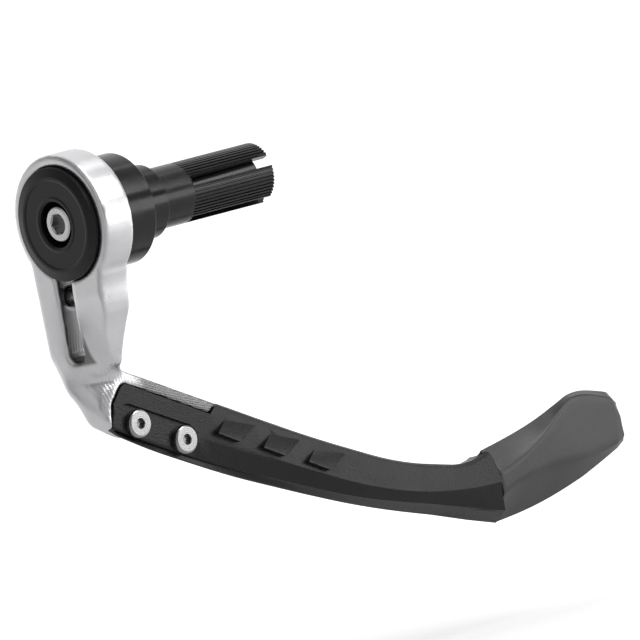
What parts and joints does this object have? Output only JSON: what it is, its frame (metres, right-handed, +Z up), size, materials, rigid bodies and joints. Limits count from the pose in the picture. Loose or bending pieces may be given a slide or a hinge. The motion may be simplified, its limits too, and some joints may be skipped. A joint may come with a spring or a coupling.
{
  "type": "brake lever guard",
  "caption": "Bar-end brake lever guard: machined aluminium arm clamped on an expanding plug, with a black moulded blade and a flared tip.",
  "frame": {"origin": "on the handlebar's axis, at the inner face of the adaptor collar, where the end of the handlebar seats", "axes": "+X along the handlebar into the tube, +Z up and away from the blade, -Y out of the side that shows the blade screws"},
  "size_m": [0.1904, 0.038, 0.1306],
  "materials": {
    "silver_anodised": "satin silver anodised, milled",
    "black_anodised": "satin black anodised, turned",
    "steel": "satin stainless steel",
    "blade_plastic": "satin black moulding",
    "tip_plastic": "fine-grained black moulding, slightly lighter than the blade"
  },
  "bodies": {
    "root": {"lever_arm": "silver_anodised", "end_disc": "black_anodised", "main_bolt": "steel", "bar_end_weight": "black_anodised", "adaptor_collar": "black_anodised", "expander_sleeve": "black_anodised", "wedge_nut": "black_anodised", "pinch_screw": "steel", "guard_blade": "blade_plastic", "blade_screw_front": "steel", "blade_screw_rear": "steel", "tip_cap": "tip_plastic"}
  },
  "joints": []
}
